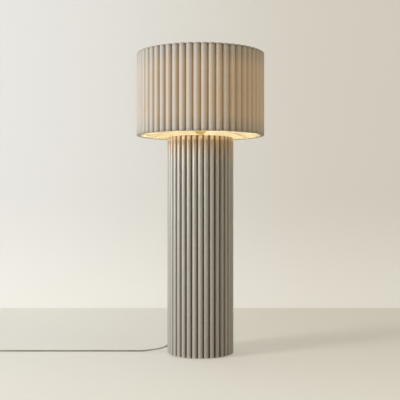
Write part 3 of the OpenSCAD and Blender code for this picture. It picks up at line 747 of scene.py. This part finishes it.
class Maker(Sheet):
    """A Geometry Nodes tree with named sizes."""

    def __init__(self, name, sizes, finish):
        super().__init__(bpy.data.node_groups.new(name, "GeometryNodeTree"))
        self.sizes, self.finish = sizes, finishes[finish]
        panel = self.tree.interface
        panel.new_socket("Profile", in_out="INPUT", socket_type="NodeSocketGeometry")
        self.keys = {key: panel.new_socket(key, in_out="INPUT", socket_type=SOCKETS[type(value)])
                     for key, value in sizes.items()}
        panel.new_socket("Piece", in_out="OUTPUT", socket_type="NodeSocketGeometry")
        self.start = self.tree.nodes.new("NodeGroupInput")

    def __getitem__(self, key):
        """The tree's own input of that name."""
        return Value(self, self.start.outputs[key])

    def grid(self, rows, columns):
        """A grid of vertices, and each vertex's row and column."""
        grid = self.node("GeometryNodeMeshGrid", None, {"Vertices X": rows, "Vertices Y": columns})
        index = self.node("GeometryNodeInputIndex")
        column = index % columns
        return grid, ((index - column) / columns + nudge).maths("FLOOR"), column

    def spun(self, grid, r, turn, z):
        """Puts the grid round the Z axis, closes its seam and poles, and turns its faces out."""
        spot = self.vector(r * turn.maths("COSINE"), r * turn.maths("SINE"), z)
        placed = self.node("GeometryNodeSetPosition", None, {"Geometry": grid, "Position": spot})
        closed = self.node("GeometryNodeMergeByDistance", None,
                           {"Geometry": placed, "Distance": same_spot})
        return self.node("GeometryNodeFlipFaces", None, {"Mesh": closed})

    def copies(self, spots, piece, scale=(1.0, 1.0, 1.0)):
        return self.node("GeometryNodeInstanceOnPoints", None, {
            "Points": spots, "Instance": piece, "Scale": scale})

    def wire(self, line, r):
        """A round wire along a line."""
        circle = self.node("GeometryNodeCurvePrimitiveCircle", None,
                           {"Resolution": 8, "Radius": r})
        return self.node("GeometryNodeCurveToMesh", None, {
            "Curve": line, "Profile Curve": circle, "Fill Caps": True})

    def laid(self, piece):
        """Moves the piece to its size At, turned by its size Turn."""
        turn = self.node("FunctionNodeEulerToRotation", None, [self["Turn"]])
        return self.node("GeometryNodeTransform", None, {
            "Geometry": piece, "Translation": self["At"], "Rotation": turn})

    def finished(self, piece):
        """Ends the tree: real copies, then the material."""
        real = self.node("GeometryNodeRealizeInstances", None, [piece])
        done = self.node("GeometryNodeSetMaterial", None,
                         {"Geometry": real, "Material": self.finish})
        end = self.tree.nodes.new("NodeGroupOutput")
        self.tree.links.new(done.socket, end.inputs[0])

    def made(self, name, profile=None):
        """Runs the tree on a profile and returns the piece as a plain mesh."""
        maker = object_from(name, profile or mesh_from(name + "_profile", []))
        modifier = maker.modifiers.new("maker", "NODES")
        modifier.node_group = self.tree
        for key, value in self.sizes.items():
            modifier[self.keys[key].identifier] = value
        seen = maker.evaluated_get(bpy.context.evaluated_depsgraph_get())
        mesh = bpy.data.meshes.new_from_object(seen)
        mesh.name = name
        maker.modifiers.clear()
        maker.data = mesh
        smooth(mesh)
        print(name, "has", len(mesh.polygons), "faces")
        return maker


def profile_mesh(name, points):
    """Loose points that a tree reads by their number."""
    return mesh_from(name, [Vector(p) * mm for p in points])


# %% [markdown]
# ### Reeded and fluted drums
# A reeded column can be cut from a turned blank: the lathe gives the rounded ends, and a
# moulding cutter gives the half-round reeds. The tree works in the same way. It lays a grid
# round the axis, one row for each point of a turned profile, and places each vertex at the
# smaller of two distances: the profile's, and the reeds'. A profile point is radius, inset of
# the reeds, height. The map counts reeds around, and metres upwards.

# %% Drum tree
steps_per_reed = 14


def drum_maker(name, copies, core, reed_r, start_deg, finish):
    m = Maker(name, {"Reeds": copies, "Steps": steps_per_reed, "Core Radius": core * mm,
                     "Reed Radius": reed_r * mm, "Start": math.radians(start_deg)}, finish)
    rows = m.node("GeometryNodeAttributeDomainSize", {"component": "MESH"}, [m["Profile"]])
    grid, row, column = m.grid(rows + 1, m["Reeds"] * m["Steps"] + 1)
    place = m.node("GeometryNodeSampleIndex", {"data_type": "FLOAT_VECTOR"}, {
        "Geometry": m["Profile"], "Value": m.node("GeometryNodeInputPosition"),
        "Index": row % rows})
    turned_r, inset, z = m.parts(place)
    step = column % m["Steps"]
    reed = ((column - step) / m["Steps"] + nudge).maths("FLOOR")
    in_groove = step.maths("LESS_THAN", 0.5)
    on_reed = 1 - in_groove
    bend = ((step - 1) / (m["Steps"] - 2) - 0.5) * math.pi
    r = m["Reed Radius"] - inset
    out = m["Core Radius"] + r * bend.maths("COSINE")
    aside = r * bend.maths("SINE")
    reeds_r = (out * out + aside * aside).maths("SQRT")
    reeds_r = on_reed * reeds_r + in_groove * (m["Core Radius"] - inset)
    pitch = math.tau / m["Reeds"]
    turn = m["Start"] + pitch * (reed + 0.5 * on_reed)
    turn = turn + on_reed * aside.maths("ARCTAN2", out)
    mapped = m.node("GeometryNodeStoreNamedAttribute", {"data_type": "FLOAT_VECTOR"}, {
        "Geometry": grid, "Name": "at", "Value": m.vector(column / m["Steps"], z)})
    at = m.node("GeometryNodeInputNamedAttribute", {"data_type": "FLOAT_VECTOR"}, ["at"])
    mapped = m.node("GeometryNodeStoreNamedAttribute",
                    {"data_type": "FLOAT2", "domain": "CORNER"},
                    {"Geometry": mapped, "Name": "reeds", "Value": at})
    clean = m.node("GeometryNodeRemoveAttribute", None, {"Geometry": mapped, "Name": "at"})
    m.finished(m.spun(clean, reeds_r.maths("MINIMUM", turned_r), turn, z))
    return m


def corner(centre_r, centre_z, r, first, last, parts):
    """Points on a rounded corner of a profile, between two angles in degrees."""
    turns = [math.radians(first + (last - first) * i / parts) for i in range(parts + 1)]
    return [(centre_r + r * math.cos(t), 0, centre_z + r * math.sin(t)) for t in turns]


# %% [markdown]
# ### Column
# The blank's profile goes up the outside, over the rounded top, down the bore past the ledge
# that holds the top plate, and round the rebate at the foot that takes the weight.

# %% Column
column_r = column_d / 2
column_foot, column_top = 3, 859
foot_round, top_round = 3, 10
ledge_z, weight_z = column_top - 9, column_foot + 4
rebate_t = 2.6
bore_r, rebate_r = column_core - wall_t, column_core - rebate_t
column_profile = [
    *corner(column_r - foot_round, column_foot + foot_round, foot_round, -90, 0, 5),
    *corner(column_r - top_round, column_top - top_round, top_round, 0, 90, 9),
    (rebate_r, 0, column_top), (rebate_r, 0, ledge_z), (bore_r, 0, ledge_z),
    (bore_r, 0, weight_z), (rebate_r, 0, weight_z), (rebate_r, 0, column_foot)]
column_maker = drum_maker("reeded_drum", reeds, column_core,
                          column_core * reed_sine - column_quirk / 2,
                          front_deg - 180 / reeds, "column_finish")
column = column_maker.made("reeded_column", profile_mesh("column_profile", column_profile))
fit(column, "stand", "column_finish", "column_shell")

# %% [markdown]
# ### Shade
# The same tree makes the cloth over 56 flutes, as a thin wall whose inner side is the same
# outline set back, and the two bands at its edges, whose corners are softened by insets. Their
# profiles are wider than any flute, so that only the flutes shape them.

# %% Shade
flutes = 56
shade_d = 508
shade_quirk = 1
cloth_t = 1.2
shade_foot, shade_top = 865.3, 1190.3
band_h = 8
band_corner = [(cloth_t, 0), (0.4, 0.3), (0, 1.1)]
skin_low, skin_high = shade_foot + band_h, shade_top - band_h
flute_sine = math.sin(math.pi / flutes)
shade_core = (shade_d / 2 + shade_quirk / 2) / (1 + flute_sine)
band_r = shade_core - cloth_t
wide = shade_d
shade_sizes = (flutes, shade_core, shade_core * flute_sine - shade_quirk / 2, front_deg)


def band_profile(low):
    high = low + band_h
    lower = [(wide, inset, low + rise) for inset, rise in band_corner]
    upper = [(wide, inset, high - rise) for inset, rise in reversed(band_corner)]
    return [*lower, *upper, (band_r, 0, high), (band_r, 0, low)]


skin_profile = [(wide, 0, skin_low), (wide, 0, skin_high),
                (wide, cloth_t, skin_high), (wide, cloth_t, skin_low)]
for name, profile, node, finish in [
        ("fluted_shade", skin_profile, "shade_skin", "shade_cloth"),
        ("shade_band_bottom", band_profile(shade_foot), "shade_hem_bottom", "shade_hem"),
        ("shade_band_top", band_profile(skin_high), "shade_hem_top", "shade_hem")]:
    maker = drum_maker(name + "_drum", *shade_sizes, finish)
    piece = maker.made(name, profile_mesh(name + "_profile", profile))
    fit(piece, "shade", finish, node)

# %% [markdown]
# ## Boots
# Where the cord enters a housing, a soft sleeve is moulded round it. It is thinner at its tip,
# and grooves round it let it bend evenly. The mould is turned, so the tree turns the sleeve
# too: each row of a grid becomes a ring, whose radius follows the taper and dips at every
# groove. The first and last rows close on the axis.

# %% Boot tree
def boot_maker(name, ribs, thick_r, thin_r, neck, length, at, along):
    around, per_rib, groove = 24, 8, 0.6
    turn = along.to_track_quat("Z", "Y").to_euler()
    m = Maker(name, {"Ribs": ribs, "Thick Radius": thick_r * mm, "Thin Radius": thin_r * mm,
                     "Neck": neck * mm, "Length": length * mm, "Groove": groove * mm,
                     "At": tuple(at * mm), "Turn": tuple(turn)}, "boot")
    last = m["Ribs"] * per_rib + 3
    grid, row, column = m.grid(last + 1, around + 1)
    ribbed = row.maths("GREATER_THAN", 1.5)
    share = ((row - 2) / (last - 3)).maths("MINIMUM", 1.0).maths("MAXIMUM", 0.0)
    z = ribbed * (m["Neck"] + share * (m["Length"] - m["Neck"]))
    wave = 0.5 - 0.5 * (share * m["Ribs"] * math.tau).maths("COSINE")
    taper = m["Thick Radius"] + share * (m["Thin Radius"] - m["Thick Radius"])
    wall = row.maths("GREATER_THAN", 0.5) * row.maths("LESS_THAN", last - 0.5)
    r = wall * (taper - ribbed * m["Groove"] * wave ** 3)
    m.finished(m.laid(m.spun(grid, r, column * (math.tau / around), z)))
    return m


# %% Boots
tip_r = cord_d / 2 + 0.8
in_switch = 25 * to_column
pieces = {}
for name, node, ribs, thick_r, neck, length, at, along in [
        ("column_boot", "cord_boot", 8, 5, lead_start + 1.5, lead_start + boot_tail,
         boot_point(-lead_start), boot_point(1) - boot_point(0)),
        ("switch_boot_in", "switch_boots", 4, 4.5, 8, 19, switch_at + in_switch, to_column),
        ("switch_boot_out", "switch_boots", 4, 4.5, 8, 19, switch_at - in_switch, -to_column),
        ("plug_sleeve", "plug_boot", 6, 5.2, 1, 20, Vector((tail_x, plug_y, plug_z)),
         Vector((0, -1, 0)))]:
    maker = boot_maker(name + "_mould", ribs, thick_r, tip_r, neck, length, at, along)
    pieces[name] = maker.made(name)
    fit(pieces[name], "stand", "cord", node)

# %% [markdown]
# ## Rings, threads and grips
# Three more trees make the details that a hand or foot feels. Rings of wire are the treads on
# the foot switch's button and the gasket in its seam, and a wound wire is the thread of the
# lamp-holder's sleeve. Round bars, one on each point of a list, are the grips on the foot
# switch, the plug and the clamp ring. A bar is a ball whose halves are pulled apart.

# %% Ring, thread and bar trees
level = (0.0, 0.0, 0.0)


def rings_maker(name, rings, first_r, pitch, wire_r, at, finish):
    m = Maker(name, {"Rings": rings, "First Radius": first_r * mm, "Pitch": pitch * mm,
                     "Wire Radius": wire_r * mm, "At": tuple(at * mm), "Turn": level}, finish)
    spots = m.node("GeometryNodeMeshLine", None, {"Count": m["Rings"], "Offset": level})
    ring = m.node("GeometryNodeCurvePrimitiveCircle", None, {"Resolution": 96, "Radius": 1.0})
    r = m["First Radius"] + m["Pitch"] * m.node("GeometryNodeInputIndex")
    rings = m.node("GeometryNodeRealizeInstances", None, [m.copies(spots, ring, r)])
    m.finished(m.laid(m.wire(rings, m["Wire Radius"])))
    return m


def thread_maker(name, turns, r, height, wire_r, at, finish):
    m = Maker(name, {"Turns": turns, "Radius": r * mm, "Height": height * mm,
                     "Wire Radius": wire_r * mm, "At": tuple(at * mm), "Turn": level}, finish)
    helix = m.node("GeometryNodeCurveSpiral", None, {
        "Resolution": 48, "Rotations": m["Turns"], "Start Radius": m["Radius"],
        "End Radius": m["Radius"], "Height": m["Height"]})
    m.finished(m.laid(m.wire(helix, m["Wire Radius"])))
    return m


def bars_maker(name, bar_r, length, finish):
    m = Maker(name, {"Bar Radius": bar_r * mm, "Bar Length": length * mm}, finish)
    ball = m.node("GeometryNodeMeshUVSphere", None, {
        "Segments": 8, "Rings": 6, "Radius": m["Bar Radius"]})
    end = m.parts(m.node("GeometryNodeInputPosition"))[2].maths("SIGN")
    apart = m["Bar Length"] / 2 - m["Bar Radius"]
    bar = m.node("GeometryNodeSetPosition", None, {
        "Geometry": ball, "Offset": m.vector(0.0, 0.0, end * apart)})
    m.finished(m.copies(m["Profile"], bar))
    return m


print("small trees ready")

# %% [markdown]
# Grips stop where a boot or a smooth face needs the room. The thread shows only above the clamp
# ring, because a nut hides the rest.

# %% Rings, threads and grips
def over_switch(z):
    """A point on the foot switch's upright axis."""
    return Vector((switch_at.x, switch_at.y, z))


def ring_of(count, centre, r, gap=0.0):
    """Points round a centre, except those within gap of the line through it along X."""
    turns = [math.tau * (i + 0.5) / count for i in range(count)]
    return [centre + out_of(a, r, 0) for a in turns if abs(r * math.sin(a)) >= gap]


button_top, seam_z = 27, 12
clamp_r, clamp_z = 25, 916
sleeve_r, thread_z = 19, 920.8
plug_w, plug_grip_y, plug_grip_step = 35.3, plug_y + 18, 3
grip_points = {
    "switch_grips": ring_of(72, switch_at, switch_r, 6),
    "clamp_grips": ring_of(40, clamp_z * up, clamp_r),
    "plug_grips": [Vector((tail_x + side * plug_w / 2, plug_grip_y + plug_grip_step * i, plug_z))
                   for side in (-1, 1) for i in range(5)]}
details = [
    ("button_treads", "foot_button", "switch_button", rings_maker(
        "treads", 3, 5, 3, 0.6, over_switch(button_top), "switch_button")),
    ("switch_gasket", "stand", "cord", rings_maker(
        "gasket", 1, switch_r - 0.15, 0, 0.4, over_switch(seam_z), "boot")),
    ("sleeve_thread", "stand", "white_plastic", thread_maker(
        "thread", 5.5, sleeve_r, 9.5, 0.45, thread_z * up, "white_plastic")),
    ("switch_grips", "stand", "switch_shell", bars_maker("switch_bars", 0.7, 8, "switch_shell")),
    ("clamp_grips", "stand", "white_plastic", bars_maker("clamp_bars", 0.9, 4.4, "white_plastic")),
    ("plug_grips", "stand", "switch_shell", bars_maker("plug_bars", 0.8, 7, "switch_shell"))]
for name, body, slot, maker in details:
    points = grip_points.get(name)
    pieces[name] = maker.made(name, profile_mesh(name + "_spots", points) if points else None)
    fit(pieces[name], body, slot)

# %% [markdown]
# ## Spring
# The tree that makes the thread also winds the spring under the foot switch's button. Its
# lower end rests on the contact block and its upper end is under the button.

# %% Spring
spring_low, spring_high = (Vector(corner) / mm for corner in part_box("switch_spring"))
spring_r, spring_wire = 7, 1.2
spring_h = spring_high.z - spring_low.z - spring_wire
spring_foot = over_switch(spring_low.z + spring_wire / 2)
spring = thread_maker("spring", 4, spring_r, spring_h, spring_wire / 2, spring_foot,
                      "zinc_steel").made("button_spring")
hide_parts("switch_spring")
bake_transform(spring)
print("spring", round(spring_h, 2), "mm high")

# %% [markdown]
# ## Strap
# A woven strap holds the coil. It goes once round the turns, and its end lies on its start,
# where hooks hold loops. The mesh follows the strap's inner face, whose four sides are written
# first, and at each point adds the same soft-edged section.

# %% Strap
strap_w, strap_t = 12, 1
left, right = -1025.6, -997.6
low, high = 1, 14.2
lap_start, lap_end = -1004, -1018
round_r, soft, lap_gap = 3.3, 0.3, 0.05
lap_r = round_r + strap_t + lap_gap


def bend(x, z, r, first):
    """A quarter of the way round a centre, as points with their outward directions."""
    turns = [math.radians(first + 15 * i) for i in range(7)]
    return [(Vector((x + r * math.cos(a), 0, z + r * math.sin(a))),
             Vector((math.cos(a), 0, math.sin(a)))) for a in turns]


head = high - round_r
strap_line = [
    (Vector((lap_start, 0, high)), up), *bend(left + round_r, head, round_r, 90),
    *bend(left + round_r, low + round_r, round_r, 180),
    *bend(right - round_r, low + round_r, round_r, 270),
    *bend(right - lap_r, head, lap_r, 0), (Vector((lap_end, 0, head + lap_r)), up)]
half = strap_w / 2
section = [(-half, 1 - soft), (-half + soft, 1), (half - soft, 1), (half, 1 - soft),
           (half, soft), (half - soft, 0), (-half + soft, 0), (-half, soft)]
strap_points = [(p + Vector((0, coil_centre.y + y, 0)) + t * strap_t * out) * mm
                for p, out in strap_line for y, t in section]
strap_faces = ring_faces(len(strap_line), len(section))
strap_mesh = mesh_from("coil_strap", strap_points, strap_faces)
strap_mesh.materials.append(finishes["strap"])
smooth(strap_mesh, 50)
pieces["coil_strap"] = object_from("coil_strap", strap_mesh)
fit(pieces["coil_strap"], "stand", "strap", "coil_tie")
print("strap of", len(strap_faces), "faces")

# %% [markdown]
# ## Cord lengths
# The real lengths of the two free cords, in metres, along the lines that they follow.

length_of(run_line) * mm
length_of(end_line) * mm

# %% [markdown]
# ## Floor and wall
# The lamp stands on a pale floor in front of a pale wall. Part of their colour shines by itself
# for the camera, as on backlit paper, which evens them out. The wall shows only from its front,
# so that a view from behind still sees the lamp. Both are painted a little darker to the right,
# and the floor lighter near the camera and the wall lighter low down, as painted light from the
# lamps on the left. They end before the lamps on that side, where they would glare.

# %% Floor and wall
paper_share = 0.45


def stage_finish(name, left, right, near, far_side=False):
    f = Finish(name, Roughness=0.9, Specular_IOR_Level=0.1)
    x, y, z = f.parts(f.place())
    clouds = f.noise(1.5)
    # Painted light and shade: darker to the right, away from the lamps, and lighter near the
    # camera on the floor and low on the wall.
    painted_light_near = 1 - (f.between(z, 0.0, 0.7) if far_side else f.between(y, -0.9, 0.4))
    colour = f.mix(left, (right, f.between(x + 0.15 * clouds, -0.8, 0.9)), (near, 0.5 * painted_light_near))
    f.feed("Base Color", colour)
    seen = f.node("ShaderNodeLightPath", None, None, "Is Camera Ray")
    for ray in ("Is Glossy Ray", "Is Transmission Ray"):
        seen = seen.maths("MAXIMUM", f.node("ShaderNodeLightPath", None, None, ray))
    paper = f.node("ShaderNodeEmission", None, {"Color": colour})
    both = f.node("ShaderNodeMixShader", None,
                  [paper_share * seen, Value(f, f.shader.outputs[0]), paper])
    if far_side:
        clear = f.node("ShaderNodeBsdfTransparent")
        back = f.node("ShaderNodeNewGeometry", None, None, "Backfacing")
        both = f.node("ShaderNodeMixShader", None, [back, both, clear])
    f.tree.links.new(both.socket, f.output.inputs["Surface"])
    return f.material


def plane(name, corners, finish):
    mesh = mesh_from(name, corners, [(0, 1, 2, 3)])
    mesh.materials.append(finish)
    object_from(name, mesh)


reach, wall_h = 7, 5
lamp_side = -3.6
wall_y = 1.346
plane("studio_floor",
      [(lamp_side, -reach, 0), (reach, -reach, 0), (reach, reach, 0), (lamp_side, reach, 0)],
      stage_finish("floor_paint", (229, 227, 219), (220, 214, 201), (246, 243, 231)))
plane("studio_wall",
      [(lamp_side, wall_y, 0), (reach, wall_y, 0), (reach, wall_y, wall_h),
       (lamp_side, wall_y, wall_h)],
      stage_finish("wall_paint", (221, 220, 217), (214, 210, 200), (240, 238, 230),
                   far_side=True))
print("wall at", wall_y, "m")

# %% [markdown]
# ## Light
# One large soft lamp stands on the left, a little in front. A low, narrow one beside it draws
# a bright line down the left side of every reed, and a weak warm one on the right keeps the
# far side from going grey. The world fills in from all round. Together they are as strong as
# plain daylight, so a colour shows about as it is written.

# %% Light
aim = Vector((0, 0, 0.6))
cool, warm = (0.965, 0.985, 1.0), (1.0, 0.87, 0.60)


def soft_light(name, place, wide, high, watts, colour):
    light = bpy.data.lights.new(name, "AREA")
    light.shape = "ELLIPSE"
    light.size, light.size_y = wide, high
    light.energy = watts
    light.color = colour
    lamp = object_from(name, light)
    lamp.location = place
    lamp.rotation_euler = (aim - lamp.location).to_track_quat("-Z", "Y").to_euler()
    print(name, watts, "W")


soft_light("key_light", (-6.2, -3.4, 2.4), 2.6, 2.6, 434, cool)
soft_light("strip_light", (-6.0, -3.6, 0.95), 0.7, 1.8, 93, cool)
soft_light("fill_light", (4.8, -2.6, 1.8), 3.0, 3.0, 46, warm)

world = bpy.data.worlds.new("studio")
bpy.context.scene.world = world
world.use_nodes = True
sky = Sheet(world.node_tree)
sky.tree.nodes.clear()
haze = sky.node("ShaderNodeBackground", None, {"Color": (1.0, 0.94, 0.85, 1.0), "Strength": 0.38})
pale = sky.node("ShaderNodeBackground", None, {"Color": paint((226, 222, 213)), "Strength": 1.0})
seen = sky.node("ShaderNodeLightPath", None, None, "Is Camera Ray")
both = sky.node("ShaderNodeMixShader", None, [seen, haze, pale])
end = sky.tree.nodes.new("ShaderNodeOutputWorld")
sky.tree.links.new(both.socket, end.inputs["Surface"])
